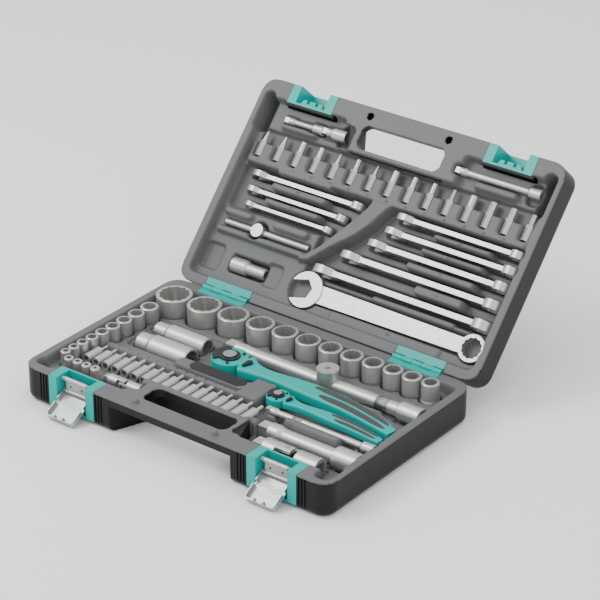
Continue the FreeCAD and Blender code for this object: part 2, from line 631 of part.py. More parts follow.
def tray(deep, wells, lands, pockets):
    """The inner skin: a flange over the shell, a sunken floor, raised lands and pockets."""
    def inside(grow, z0, z1):
        body = outline(-WALL - FIT + grow, z0, z1)
        body = body.cut(handle_zone(WALL + FIT - grow, z0 - 1, z1 + 1))
        return body.cut(latch_zone(WALL + FIT - grow, z0 - 1, z1 + 1))

    flange = outline(0, SEAT, RIM)
    block = inside(0, -deep + WALL, SEAT + 0.5)
    sunk = fused([slab(x0, x1, v0, v1, -floor, 60, 6) for x0, x1, v0, v1, floor in wells])
    sunk_grown = fused([
        slab(x0 - SKIN, x1 + SKIN, v0 - SKIN, v1 + SKIN, -floor - SKIN, 60, 6 + SKIN)
        for x0, x1, v0, v1, floor in wells
    ])
    lowest = max(well[4] for well in wells) + 0.5
    hollow = inside(-SKIN, -deep, SEAT)
    hollow = hollow.cut(fused([sunk_grown] + [pocket(SKIN) for pocket in pockets]))
    body = flange.fuse(block).cut(sunk)
    body = fused([body] + [
        slab(*land[:4], -lowest, -land[4], 4) if len(land) == 5
        else prism(land[0], -lowest, -land[1]) for land in lands
    ])
    body = body.cut(fused([pocket(0) for pocket in pockets]))
    body = body.cut(hollow)
    body = body.cut(latch_zone(0, -deep - 1, 2)).cut(finger_hole(-deep - 1, 2))
    return body.cut(hinge_notch())


def handle_pins(radius, z0, length):
    """The two round pegs of the handle bar, or the holes they close into."""
    return [rod(s * size("peg_spacing") / 2, FRONT - size("handle_bar") / 2, z0, radius, length)
            for s in (-1, 1)]


holes = handle_pins(size("peg_radius") + 0.8, -size("peg_height") - 3, 10)
stow("base_shell", shell(BASE_H))
stow("lid_shell", shell(LID_H).cut(fused(holes)), "lid")

side, front, back = WIDTH / 2 - size("side_rim"), FRONT - size("front_rim"), size("back_rim")
middle = HANDLE_BACK - size("handle_wall") - 4
floor, deep, land = size("base_floor"), size("base_deep"), size("base_land")
base_wells = [
    (-side, side, back, middle - 4, floor), (-side, -82, middle - 20, front - 1, floor),
    (82, side, middle - 20, front - 1, floor), (-165, -78, 70, 138, deep - 2),
    (-80, side, 68, middle - 4, deep), (62, side, middle - 50, front - 1, deep),
    (side - 14, side + 3, front - 15, front + 14, deep + 8),
    (-side - 3, -side + 24, front - 3, front + 11, deep),
]
# raised lands between the tools, then the saddles that carry them over the deep wells
base_lands = [
    (-174, 40, 154, 164, land + 2), (-85, 12, 134, 152, land), (10, 40, 122, 163, land),
    (88, 160, 168, 182, land - 1.5), (60, 88, 190, 201, land),
    (-160, -112, 76, 136, land + 4), (-128, -90, 204, 230, land + 4),
    (-80, 70, middle - 12, middle - 4, land), (-30, 20, 60, 70, floor),
    (-58, -22, 90, 126, 14), (118, 140, 96, 134, 14), (44, 64, 130, 156, 9.5),
    (150, 172, 136, 158, 9.5), (60, 74, 156, 174, 8), (176, 197, 156, 174, 8),
    (84, 98, 176, 204, 12), (170, 197, 176, 204, 12), (98, 112, 206, 232, 12),
    (-60, -40, 64, 86, floor), (120, 150, 64, 86, floor),
]
base_wall = tray(BASE_H, base_wells, base_lands, base_pockets)
pegs = handle_pins(size("peg_radius"), RIM - 1, 1 + size("peg_height"))
stow("base_tray", fused([base_wall] + pegs))

floor, deep, land = size("lid_floor"), size("lid_deep"), size("lid_land")
lid_wells = [
    (-side, side, back - 2, middle - 4, floor), (-side, -82, middle - 20, front + 3, floor),
    (82, side, middle - 20, front + 3, floor), (-58, side, 56, 157, deep),
    (-193, -20, 103, 157, deep), (-188, side, 185, 203, deep - 2),
    (-196, -170, 24, 56, deep - 4), (-106, -84, 26, 54, deep - 4),
    (-side - 3, -side + 9, 198, FRONT - 17, deep + 8),
    (side - 11, side + 3, 194, FRONT - 15, deep + 8),
    (-88, -64, 205, 232, deep - 2), (168, 184, 208, 232, deep - 2),
]
ridge = [(-70, 66), (-54, 68), (-34, 90), (-10, 112), (4, 131), (14, 150), (20, 158),
         (-8, 158), (-10, 150), (-22, 129), (-34, 111), (-48, 90)]
lid_lands = [
    (-190, side, 157, 184.5, land), (ridge, land - 1), (-2, 147, 13, 29, land + 6),
    (-190, -62, 69, 76, land), (-190, -150, 92, 100, land + 2), (-120, -70, 92, 101, land + 2),
    (40, 150, 50, 59, land + 6), (88, 152, 71, 84, land - 1), (66, 156, 96, 107, land - 1),
    (76, 158, 117, 127, land - 1), (84, 160, 136, 146, land - 1),
    (-143, -65, 115, 125, land), (-143, -65, 134, 144, land), (-143, -65, 153, 158, land),
    (-166, -116, 206, 213, land), (104, 160, 206, 215, land - 1),
]
lid_wall = tray(LID_H, lid_wells, lid_lands, lid_pockets)
stow("lid_tray", lid_wall.cut(fused(holes)), "lid")


# ------------------------------------------------------------------ hinges
def leaf(knuckles, bore):
    """The leaves of one half: flat plates with every other knuckle of each barrel."""
    pitch, width = size("hinge_width") / 5, size("hinge_width")
    barrel, thick = size("hinge_barrel"), size("hinge_thick")
    leaves = []
    for s in (-1, 1):
        x0 = s * size("hinge_spacing") / 2 - width / 2
        plate = box(x0, x0 + width, barrel + 0.8, size("hinge_leaf") + 1, RIM - thick, RIM)
        bits = [plate]
        for k in knuckles:
            a, b = x0 + k * pitch + FIT / 2, x0 + (k + 1) * pitch - FIT / 2
            bits.append(rod(a, 0, 0, barrel, b - a, (1, 0, 0)))
            bits.append(box(a, b, 0, barrel + 1, RIM - thick, RIM))
        leaves.append(fused(bits).cut(rod(x0 - 1, 0, 0, bore, width + 2, (1, 0, 0))))
    return Part.makeCompound(leaves)


pin_r = size("hinge_pin")
stow("hinge_base_leaves", leaf((0, 2, 4), pin_r))
stow("hinge_lid_leaves", leaf((1, 3), pin_r + size("pin_clearance")), "lid")
stow("hinge_pins", Part.makeCompound([
    rod(s * size("hinge_spacing") / 2 - size("hinge_width") / 2, 0, 0, pin_r,
        size("hinge_width"), (1, 0, 0)) for s in (-1, 1)]))


# ------------------------------------------------------------------ latches
frame_wall, half = size("latch_wall"), LATCH_HALF
pivot_v, pivot_z = FRONT - 9.5, -size("link_drop") - 1
link_pin, link_len, steel = size("latch_pin"), size("link_length"), size("sheet_steel")
running = link_pin + size("pin_clearance")


def latch_frame(c, deep):
    """A block of two thick cheeks, a back web and a foot, filling one latch bay."""
    low = -deep + frame_wall + WALL + 0.1
    inner = size("lever_width") / 2 + 1.5
    cheeks = [box(min(c + s * inner, c + s * half), max(c + s * inner, c + s * half),
                  LATCH_BACK, FRONT, low, RIM) for s in (-1, 1)]
    web = box(c - half, c + half, LATCH_BACK, LATCH_BACK + frame_wall, low, RIM)
    foot = box(c - half, c + half, LATCH_BACK, FRONT, low, low + frame_wall)
    return fused(cheeks + [web, foot])


for name, s in (("left", -1), ("right", 1)):
    c = s * LATCH_X
    frame = latch_frame(c, BASE_H)
    bar_block = box(c - 7, c + 7, LATCH_BACK + 1, LATCH_BACK + 8, -BASE_H + 8, -24)
    slot = box(c - 3, c + 3, LATCH_BACK + 5, LATCH_BACK + 10, -BASE_H + 12, -28)
    pin = rod(c - half, pivot_v, pivot_z, link_pin, 2 * half, (1, 0, 0))
    stow(f"latch_frame_{name}", frame.fuse(bar_block).cut(slot).cut(pin))
    stow(f"latch_pin_{name}", pin)
    # the catch on the lid: a channel with a hooked block that the lever pulls down on
    catch = fused([
        latch_frame(c, LID_H),
        prism([(c - 17, LATCH_BACK + 1), (c + 17, LATCH_BACK + 1), (c + 13, LATCH_BACK + 9),
               (c - 13, LATCH_BACK + 9)], -LID_H + 6, -4),
    ])
    for t in (-1, 1):
        catch = catch.cut(box(c + t * 6 - 2, c + t * 6 + 2, LATCH_BACK + 5, LATCH_BACK + 12,
                              -20, -3))
    stow(f"lid_catch_{name}", catch, "lid")
    # the link hangs from the pin and carries the lever's own pin at its foot
    low_z = pivot_z - link_len
    link_half = size("link_width") / 2
    link = fused([
        rod(c - link_half, pivot_v, pivot_z, link_pin + 1.3, 2 * link_half, (1, 0, 0)),
        box(c - link_half, c + link_half, pivot_v - steel / 2, pivot_v + steel / 2,
            low_z, pivot_z),
        rod(c - link_half, pivot_v, low_z, link_pin + 0.6, 2 * link_half, (1, 0, 0)),
        rod(c - size("lever_width") / 2, pivot_v, low_z, link_pin, size("lever_width"),
            (1, 0, 0)),
    ]).cut(rod(c - half, pivot_v, pivot_z, running, 2 * half, (1, 0, 0)))
    for t in (-1, 1):
        link = link.cut(rod(c + t * 8, pivot_v - 3, pivot_z - link_len * 0.5, 1.6, 6, (0, 1, 0)))
    stow(f"latch_link_{name}", link)
    # the lever is a dish on that pin, with two hooks at its tip for the slots of the catch
    wide, long, dish = size("lever_width") / 2, size("lever_length"), size("lever_depth")
    lever = slab(c - wide, c + wide, -4, long, -4.5, dish - 4.5, 4)
    lever = lever.cut(slab(c - wide + steel, c + wide - steel, -8, long - steel,
                           -4.5 + steel, dish, 3))
    hooks = [box(c + t * size("hook_spacing") / 2 - size("hook_width") / 2,
                 c + t * size("hook_spacing") / 2 + size("hook_width") / 2,
                 long - 3, long - 0.5, -4, 5.5) for t in (-1, 1)]
    lever = fused([lever] + hooks)
    notch = link_pin + 0.6
    lever = lever.cut(box(c - wide - 1, c + wide + 1, link_len - notch, link_len + notch,
                          -notch, dish))
    lever = lever.cut(rod(c - wide - 1, 0, 0, running, 2 * wide + 2, (1, 0, 0)))
    lever.rotate(Vector(0, 0, 0), Vector(1, 0, 0), -size("lever_angle"))
    lever.translate(Vector(0, pivot_v, low_z))
    stow(f"latch_lever_{name}", lever)

# ------------------------------------------------------------------ checks and export
doc.recompute()
for thing in doc.Objects:
    if "Invalid" in thing.State or "Error" in thing.State:
        raise SystemExit(f"{thing.Label} failed to build: {thing.State}")
for thing in parts:
    if thing.Shape.isNull() or not thing.Shape.isValid() or not thing.Shape.Solids:
        raise SystemExit(f"{thing.Label} has no valid solid")
    thing.Shape.exportStep(f"parts/{thing.Label}.step")
print(len(parts), "parts")
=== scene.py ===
"""A socket wrench set in its open blow-moulded case, dressed for close viewing."""

import math

import bmesh
import bpy
import numpy as np
from mathutils import Matrix, Vector
from mathutils.bvhtree import BVHTree
from mathutils.kdtree import KDTree


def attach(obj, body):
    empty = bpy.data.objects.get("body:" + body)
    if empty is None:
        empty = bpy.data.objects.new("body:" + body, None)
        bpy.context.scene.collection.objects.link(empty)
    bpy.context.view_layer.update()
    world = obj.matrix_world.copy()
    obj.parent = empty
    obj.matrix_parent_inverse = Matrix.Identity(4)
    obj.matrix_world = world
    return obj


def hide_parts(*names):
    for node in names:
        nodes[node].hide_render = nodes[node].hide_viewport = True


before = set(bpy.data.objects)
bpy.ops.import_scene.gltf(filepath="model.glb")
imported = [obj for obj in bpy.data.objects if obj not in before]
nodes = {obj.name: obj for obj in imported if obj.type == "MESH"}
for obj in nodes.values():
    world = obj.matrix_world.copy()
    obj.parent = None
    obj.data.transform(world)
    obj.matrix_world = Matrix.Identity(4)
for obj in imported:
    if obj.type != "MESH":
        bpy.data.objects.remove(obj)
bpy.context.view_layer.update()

# ---------------------------------------------------------------- the two outer shells
# The shells are blow-moulded black polyethylene with a fine spark-eroded grain, which makes
# the black a soft charcoal in the light, and they scuff to a slightly paler grey at the edges.
MM = 0.001
CLOUD_MM = 34  # the size of the faint patches in a moulding's colour


def linear(hex_colour):
    """A hex sRGB colour as a linear RGBA tuple."""
    channels = [int(hex_colour[i:i + 2], 16) / 255 for i in (1, 3, 5)]
    return tuple(c / 12.92 if c <= 0.04045 else ((c + 0.055) / 1.055) ** 2.4
                 for c in channels) + (1.0,)


def add(tree, kind, links=None, **settings):
    """Adds a node, sets its properties or sockets, and links {socket: other output}."""
    node = tree.nodes.new("ShaderNode" + kind)
    for name, value in settings.items():
        key = name.replace("_", " ")
        socket = next((s for s in node.inputs if s.name.lower() == key.lower()), None)
        if socket is not None:
            socket.default_value = value
        else:
            setattr(node, name, value)
    for name, source in (links or {}).items():
        tree.links.new(source, node.inputs[name])
    return node


def new_material(name):
    """An empty node material with its shader and output."""
    made = bpy.data.materials.new(name)
    made.use_nodes = True
    tree = made.node_tree
    tree.nodes.clear()
    shader = add(tree, "BsdfPrincipled")
    add(tree, "OutputMaterial", {"Surface": shader.outputs["BSDF"]})
    return made, tree, shader


def place_mm(tree):
    """Object coordinates counted in millimetres."""
    coords = add(tree, "TexCoord")
    return add(tree, "Mapping", {"Vector": coords.outputs["Object"]},
               Scale=(1 / MM, 1 / MM, 1 / MM)).outputs["Vector"]


def moulded(name, colour, worn, rough, grain_mm, grain_depth_mm, bump_strength=0.35,
            shine=0.3):
    """Moulded plastic: a fine grain in the surface and a faint clouding of its colour."""
    made, tree, shader = new_material(name)
    where = place_mm(tree)
    grain = add(tree, "TexNoise", {"Vector": where}, Scale=1 / grain_mm, Detail=4.0,
                Roughness=0.6)
    clouds = add(tree, "TexNoise", {"Vector": where}, Scale=1 / CLOUD_MM, Detail=3.0)
    mix = add(tree, "Mix", data_type="RGBA", blend_type="MIX")
    tree.links.new(clouds.outputs["Fac"], mix.inputs["Factor"])
    for socket in mix.inputs:
        if socket.name == "A" and socket.type == "RGBA":
            socket.default_value = linear(colour)
        if socket.name == "B" and socket.type == "RGBA":
            socket.default_value = linear(worn)
    colour_out = next(s for s in mix.outputs if s.type == "RGBA")
    tree.links.new(colour_out, shader.inputs["Base Color"])
    spread = add(tree, "MapRange", {"Value": grain.outputs["Fac"]}, To_Min=rough - 0.06,
                 To_Max=rough + 0.08)
    tree.links.new(spread.outputs["Result"], shader.inputs["Roughness"])
    bump = add(tree, "Bump", {"Height": grain.outputs["Fac"]}, Strength=bump_strength,
               Distance=grain_depth_mm * MM)
    tree.links.new(bump.outputs["Normal"], shader.inputs["Normal"])
    shader.inputs["Specular IOR Level"].default_value = shine
    return made


def dress(node, made):
    """Gives a CAD piece its finish."""
    nodes[node].data.materials.clear()
    nodes[node].data.materials.append(made)


def soften(node, width_mm):
    """Takes the sharpness off a CAD piece's edges, as tumbling or moulding does."""
    bevel = nodes[node].modifiers.new("eased edges", "BEVEL")
    bevel.width = width_mm * MM
    bevel.segments = 2
    bevel.limit_method = "ANGLE"
    bevel.angle_limit = math.radians(32)


polyethylene_black = moulded("Black blow-moulded polyethylene", "#0C0D0E", "#131415", 0.40,
                             0.9, 0.10, shine=0.2)
for node in ("base_shell", "lid_shell"):
    dress(node, polyethylene_black)

# ---------------------------------------------------------------- the two inner trays
# Each tray is the inner wall of the same blow moulding, in a mid-grey polyethylene. The
# parison is blown into the tool pockets, so every edge is soft and every wall runs out in a
# radius: the skin is taken from the pockets' depth and eased by about a millimetre.
HINGE_V, RIM_Z = 130.5, 42  # from the middle of the case to the hinge, and up to the rim
GRID, EASE, SKIRT = 0.95 * MM, 1.0 * MM, 1.6 * MM
ABOVE = 0.01                # rays start this far over the tray
HAIR = 0.02 * MM            # points closer than this lie in one plane
FLANGE_DEPTH = 8 * MM       # nothing of the rim's flange is lower than this
OUTLINE_STEP = 0.4 * MM     # spacing of the points kept along the real edges
SNAP = 1.7 * GRID           # a cell's corner this near a real edge moves onto it
HINGE = Vector((0, HINGE_V * MM, RIM_Z * MM))
LEAN = math.radians(48)
base_face = Matrix.Identity(4)
lid_face = Matrix.Translation(HINGE) @ Matrix.Rotation(LEAN, 4, "X")

polyethylene_grey = moulded("Grey blow-moulded polyethylene", "#636465", "#5A5B5C", 0.48,
                            0.8, 0.10, shine=0.3)


def eased(height, solid, radius):
    """Blurs a height grid over its solid cells."""
    reach = int(3 * radius) + 1
    kernel = np.exp(-0.5 * (np.arange(-reach, reach + 1) / radius) ** 2)
    total, weight = np.where(solid, height, 0.0), solid.astype(float)
    for axis in (0, 1):
        total = np.apply_along_axis(np.convolve, axis, total, kernel, "same")
        weight = np.apply_along_axis(np.convolve, axis, weight, kernel, "same")
    return total / np.maximum(weight, 1e-9)


def moulded_skin(node, face, name):
    """The tray's upper face as one soft sheet with a turned-down rim, in place of the CAD tray."""
    source = nodes[node].data
    flat = face.inverted()
    points = [flat @ v.co for v in source.vertices]
    tree = BVHTree.FromPolygons(points, [tuple(p.vertices) for p in source.polygons])
    cloud = np.array([tuple(p) for p in points])
    low, high = cloud.min(axis=0), cloud.max(axis=0)
    across = int((high[0] - low[0]) / GRID) + 2
    along = int((high[1] - low[1]) / GRID) + 2
    xs = np.linspace(low[0] + HAIR, high[0] - HAIR, across)
    ys = np.linspace(low[1] + HAIR, high[1] - HAIR, along)
    height, solid = np.zeros((across, along)), np.zeros((across, along), bool)
    down = Vector((0, 0, -1))
    for i, x in enumerate(xs):
        for j, y in enumerate(ys):
            hit = tree.ray_cast(Vector((x, y, high[2] + ABOVE)), down)[0]
            if hit is not None:
                height[i, j], solid[i, j] = hit.z, True
    rim = float(np.median(height[solid][height[solid] > high[2] - FLANGE_DEPTH]))
    outline = KDTree(200000)
    count = 0
    for edge in source.edges:
        a, b = (points[k] for k in edge.vertices)
        if abs(a.z - rim) < HAIR and abs(b.z - rim) < HAIR:
            steps = max(1, int((b - a).length / OUTLINE_STEP))
            for k in range(steps + 1):
                spot = a.lerp(b, k / steps)
                probe = [tree.ray_cast(Vector((spot.x + dx, spot.y + dy, high[2] + ABOVE)),
                                       down)[0] is None
                         for dx, dy in ((GRID, 0), (-GRID, 0), (0, GRID), (0, -GRID))]
                if any(probe):
                    outline.insert((spot.x, spot.y, 0), count)
                    count += 1
    outline.balance()
    height = eased(np.minimum(height, rim), solid, EASE / GRID)
    index = -np.ones((across, along), int)
    cells = solid[:-1, :-1] & solid[1:, :-1] & solid[:-1, 1:] & solid[1:, 1:]
    used = np.zeros_like(solid)
    for di in (0, 1):
        for dj in (0, 1):
            used[di:across - 1 + di, dj:along - 1 + dj] |= cells
    index[used] = np.arange(used.sum())
    where = np.argwhere(used)
    verts = [Vector((xs[i], ys[j], height[i, j])) for i, j in where]
    inner = np.zeros_like(solid)
    inner[1:-1, 1:-1] = cells[:-1, :-1] & cells[1:, :-1] & cells[:-1, 1:] & cells[1:, 1:]
    for k, (i, j) in enumerate(where):
        if not inner[i, j]:
            spot, _, gap = outline.find((verts[k].x, verts[k].y, 0))
            if gap is not None and gap < SNAP:
                verts[k].x, verts[k].y = spot.x, spot.y
    faces = [(index[i, j], index[i + 1, j], index[i + 1, j + 1], index[i, j + 1])
             for i, j in np.argwhere(cells)]
    mesh = bpy.data.meshes.new(name)
    mesh.from_pydata([face @ v for v in verts], [], [tuple(int(k) for k in f) for f in faces])
    bm = bmesh.new()
    bm.from_mesh(mesh)
    edge_loop = [e for e in bm.edges if e.is_boundary]
    turned = bmesh.ops.extrude_edge_only(bm, edges=edge_loop)["geom"]
    shift = (face.to_3x3() @ down) * SKIRT
    for v in (g for g in turned if isinstance(g, bmesh.types.BMVert)):
        v.co += shift
    for f in bm.faces:
        f.smooth = True
    bmesh.ops.recalc_face_normals(bm, faces=bm.faces)
    bm.to_mesh(mesh)
    bm.free()
    skin = bpy.data.objects.new(name, mesh)
    bpy.context.scene.collection.objects.link(skin)
    skin.data.materials.append(polyethylene_grey)
    return skin


for node, face, body, name in (("base_tray", base_face, "base", "base_tray_skin"),
                               ("lid_tray", lid_face, "lid", "lid_tray_skin")):
    skin = moulded_skin(node, face, name)
    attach(skin, body)
    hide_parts(node)


def peg(name, x):
    """A round peg with a domed end that stands on the handle bar."""
    profile = [(0, 4.9), (1.4, 4.85), (2.4, 4.5), (3.1, 3.8), (3.4, 2.9), (3.5, 0.6),
               (3.9, 0.1), (4.4, -0.15)]  # radius and height, from the tip down
    y, foot, sides = -118.5, 41.8, 40
    mesh = bpy.data.meshes.new(name)
    bm = bmesh.new()
    around = np.linspace(0, 2 * math.pi, sides + 1)[:-1]
    rings = [[bm.verts.new(((x + r * math.cos(a)) * MM, (y + r * math.sin(a)) * MM,
                            (foot + h) * MM)) for a in around]
             for r, h in profile[1:]]
    tip = bm.verts.new((x * MM, y * MM, (foot + profile[0][1]) * MM))
    for k in range(sides):
        after = (k + 1) % sides
        bm.faces.new((tip, rings[0][k], rings[0][after]))
        for a, b in zip(rings, rings[1:]):
            bm.faces.new((a[k], b[k], b[after], a[after]))
    for face in bm.faces:
        face.smooth = True
    bm.to_mesh(mesh)
    bm.free()
    made = bpy.data.objects.new(name, mesh)
    bpy.context.scene.collection.objects.link(made)
    mesh.materials.append(polyethylene_grey)
    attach(made, "base")


peg("handle_peg_left", -54)
peg("handle_peg_right", 54)

# ---------------------------------------------------------------- sizes on the trays
# The size of each tool stands beside it in small raised figures, part of the same moulding,
# a few tenths of a millimetre high and worn a little darker than the wall round them.
figure_grey = moulded("Grey polyethylene, raised figures", "#48494A", "#434445", 0.5, 0.8, 0.1)


def figures(text, x, v, z, home, tall_mm):
    """Raised figures on a land, at a plan place in the base or the lid."""
    curve = bpy.data.curves.new("figures " + text, "FONT")
    curve.body, curve.size, curve.extrude = text, tall_mm * MM, 0.18 * MM
    curve.align_x, curve.align_y = "CENTER", "CENTER"
    curve.resolution_u = 3
    drawn = bpy.data.objects.new("figures", curve)
    bpy.context.scene.collection.objects.link(drawn)
    mesh = bpy.data.meshes.new_from_object(drawn)
    bpy.data.objects.remove(drawn)
    mesh.materials.clear()
    mesh.materials.append(figure_grey)
    made = bpy.data.objects.new(f"{home}_figures_{text}_{int(x)}", mesh)
    bpy.context.scene.collection.objects.link(made)
    if home == "base":
        made.matrix_world = Matrix.Translation(Vector((x, HINGE_V - v, RIM_Z + z)) * MM)
    else:
        made.matrix_world = lid_face @ Matrix.Translation(Vector((x, v, z)) * MM)
    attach(made, home)


# Beside the wrenches.
for text, x, v, z, tall_mm in [
    ("22", 78, 21, -9.9, 5.0), ("19", 118, 77.5, -2.9, 5.0), ("17", 112, 101.5, -2.9, 5.0),
    ("15", 114, 122, -2.9, 5.0), ("14", 120, 141, -2.9, 5.0), ("12", -104, 155.4, -3.9, 3.4),
    ("10", -104, 139, -3.9, 5.0), ("8", -104, 120, -3.9, 5.0),
]:
    figures(text, x, v, z, "lid", tall_mm)

# In front of the bits.
BIT_X, BIT_PITCH = -174.5, 26.3
for k, text in enumerate(["3", "2", "1", "6.5", "5.5", "10", "15", "20", "25", "27", "30", "40",
                          "45", "50", "55"]):
    figures(text, BIT_X + BIT_PITCH * k, 161.5, -3.9, "lid", 3.6)

# In front of the bit sockets.
BIT_SOCKET_X, BIT_SOCKET_PITCH = -169, 13.65
for k, text in enumerate(["3", "4", "5", "6", "7", "8", "10", "15", "20", "25", "27", "1",
                          "2", "3", "5.5", "6.5"]):
    figures(text, BIT_SOCKET_X + BIT_SOCKET_PITCH * k, 158.5, -5.9, "base", 3.4)


def pill(name, x0, x1, v0, v1, z0, z1, made, home):
    """A flat pad with round ends and a soft upper edge, lying in the base."""
    radius, edge, sides = (v1 - v0) / 2, 0.35, 48
    mesh = bpy.data.meshes.new(name)
    bm = bmesh.new()
    rings = []
    for inset, z in ((0, z0), (0, z1 - edge), (edge * 0.4, z1 - edge * 0.4), (edge, z1)):
        ring = []
        for k in range(sides):
            angle = 2 * math.pi * (k + 0.5) / sides
            centre = x1 - radius if math.cos(angle) > 0 else x0 + radius
            ring.append(bm.verts.new((
                (centre + (radius - inset) * math.cos(angle)) * MM,
                (HINGE_V - (v0 + v1) / 2 + (radius - inset) * math.sin(angle)) * MM,
                (RIM_Z + z) * MM)))
        rings.append(ring)
    for a, b in zip(rings, rings[1:]):
        for k in range(sides):
            after = (k + 1) % sides
            bm.faces.new((a[k], a[after], b[after], b[k]))
    bm.faces.new(rings[-1])
    bm.faces.new(rings[0][::-1])
    bm.to_mesh(mesh)
    bm.free()
    pad = bpy.data.objects.new(name, mesh)
    bpy.context.scene.collection.objects.link(pad)
    mesh.materials.append(made)
    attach(pad, home)


pad_black = moulded("Black polyethylene pad", "#1C1D1E", "#232425", 0.5, 0.8, 0.1)
pill("base_black_pad", -66, 10, 135.5, 150.5, -4.6, -3.3, pad_black, "base")

# ---------------------------------------------------------------- hinges and latch bays
# The hinges, the latch frames and the catches are injection-moulded ABS in a clear teal,
# smoother and shinier than the case, with a faint orange-peel from the mould.
abs_teal = moulded("Teal injection-moulded ABS", "#00A19A", "#009991", 0.32, 1.4, 0.03,
                   bump_strength=0.2, shine=0.28)
for node in ("hinge_base_leaves", "hinge_lid_leaves", "latch_frame_left", "latch_frame_right",
             "lid_catch_left", "lid_catch_right"):
    dress(node, abs_teal)
    soften(node, 0.5)

# ---------------------------------------------------------------- pins and ground steel
# The hinge and latch pins, buttons and joint crosses are ground steel: bright and even, with
# fine scratches round them that spread the reflections.


def metal(name, colour, rough, spread, streak_mm, stretch=(1, 1, 1), bump_mm=0.01,
          metallic=1.0):
    """Bare or plated metal: even colour, with a fine directional texture in its shine."""
    made, tree, shader = new_material(name)
    coords = add(tree, "TexCoord")
    where = add(tree, "Mapping", {"Vector": coords.outputs["Object"]},
                Scale=tuple(s / MM for s in stretch)).outputs["Vector"]
    fine = add(tree, "TexNoise", {"Vector": where}, Scale=1 / streak_mm, Detail=3.0)
    broad = add(tree, "TexNoise", {"Vector": where}, Scale=1 / (streak_mm * 14), Detail=2.0)
    both = add(tree, "Math", {0: fine.outputs["Fac"], 1: broad.outputs["Fac"]},
               operation="ADD")
    ranged = add(tree, "MapRange", {"Value": both.outputs[0]}, From_Min=0.6, From_Max=1.4,
                 To_Min=rough - spread, To_Max=rough + spread)
    tree.links.new(ranged.outputs["Result"], shader.inputs["Roughness"])
    bump = add(tree, "Bump", {"Height": fine.outputs["Fac"]}, Strength=0.25,
               Distance=bump_mm * MM)
    tree.links.new(bump.outputs["Normal"], shader.inputs["Normal"])
    shader.inputs["Base Color"].default_value = linear(colour)
    shader.inputs["Metallic"].default_value = metallic
    return made


ground_steel = metal("Ground steel", "#A9AAAB", 0.24, 0.06, 0.4)
for node in ("hinge_pins", "latch_pin_left", "latch_pin_right", "universal_half_cross",
             "universal_quarter_cross", "ratchet_half_button", "ratchet_quarter_button"):
    dress(node, ground_steel)
    soften(node, 0.25)

# ---------------------------------------------------------------- latch links and levers
# Links and levers are pressed from mild steel sheet and bright zinc plated: pale, a little
# blue, with the long rolling marks of the sheet still showing through the plating.
zinc_sheet = metal("Bright zinc-plated sheet steel", "#AEB0B1", 0.40, 0.07, 0.5,
                   stretch=(0.15, 1, 1), bump_mm=0.015, metallic=0.85)
for side in ("left", "right"):
    for node in ("latch_link_", "latch_lever_"):
        dress(node + side, zinc_sheet)
        soften(node + side, 0.3)


LATCH_X = (("left", -136.5), ("right", 136.5))
PIN_V, PIN_Z, DISH = 250.5, -19, 3.3  # the lever's pin, and how far its plate lies under it
SLOPE = math.radians(30)              # how far the lever hangs below the level at rest


def lever_spot(x, out, off):
    """A point on the dish of a latch lever: how far out from its pin, and above its plate."""
    v = PIN_V + out * math.cos(SLOPE) + (off - DISH) * math.sin(SLOPE)
    z = PIN_Z - out * math.sin(SLOPE) + (off - DISH) * math.cos(SLOPE)
    return Vector((x, HINGE_V - v, RIM_Z + z)) * MM


def wire(name, points, radius_mm, made, body):
    """A thin round bead along a line of points."""
    curve = bpy.data.curves.new(name, "CURVE")
    curve.dimensions, curve.bevel_depth, curve.bevel_resolution = "3D", radius_mm * MM, 2
    line = curve.splines.new("POLY")
    line.points.add(len(points) - 1)
    for place, point in zip(line.points, points):
        place.co = (*point, 1)
    bead = bpy.data.objects.new(name, curve)
    bpy.context.scene.collection.objects.link(bead)
    curve.materials.append(made)
    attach(bead, body)


# Three shallow wavy ribs are pressed across each lever.
for side, middle in LATCH_X:
    for k, out in enumerate((11.0, 13.2, 15.4)):
        points = [lever_spot(middle + t, out + 1.5 * math.sin(t / 4.4) - 0.04 * t, 0.05)
                  for t in np.linspace(-15, 15, 41)]
        wire(f"latch_lever_{side}_ridge_{k}", points, 0.28, zinc_sheet,
             f"latch_lever_{side}")

# A wound spring sits on the pin at each side of the link and pushes the lever outwards.
COIL_START, COIL_LENGTH, COIL_RADIUS = 15.6, 3.6, 2.3  # from the middle of the link, in mm
COIL_Y, COIL_Z, COIL_TURNS = -120, 37.5, 3.5
for side, middle in LATCH_X:
    for hand in (-1, 1):
        turns = [Vector((middle + hand * (COIL_START + COIL_LENGTH * t),
                         COIL_Y + COIL_RADIUS * math.cos(2 * COIL_TURNS * math.pi * t),
                         COIL_Z + COIL_RADIUS * math.sin(2 * COIL_TURNS * math.pi * t))) * MM
                 for t in np.linspace(0, 1, 71)]
        wire(f"latch_{side}_spring_{'a' if hand < 0 else 'b'}", turns, 0.42, ground_steel,
             f"latch_link_{side}")

# ---------------------------------------------------------------- plated tools
# The sockets, bars, bits and wrenches are chrome-vanadium steel with a satin chrome plate over
# a blasted surface: a pale, milky metal whose reflections are wide and soft.
satin_chrome = metal("Satin chrome plate on blasted steel", "#BDBDBB", 0.40, 0.05, 0.35,
                     metallic=0.8)
plated = [name for name in nodes if name.startswith(
    ("sockets_", "bit", "spark_", "extension_", "sliding_", "square_", "tee_", "wrench_"))]
plated += ["universal_half_drive", "universal_half_socket", "universal_quarter_drive",
           "universal_quarter_socket", "ratchet_half_drive", "ratchet_quarter_drive"]
for node in plated:
    dress(node, satin_chrome)
    soften(node, 0.45 if node.startswith("wrench_") else 0.3)


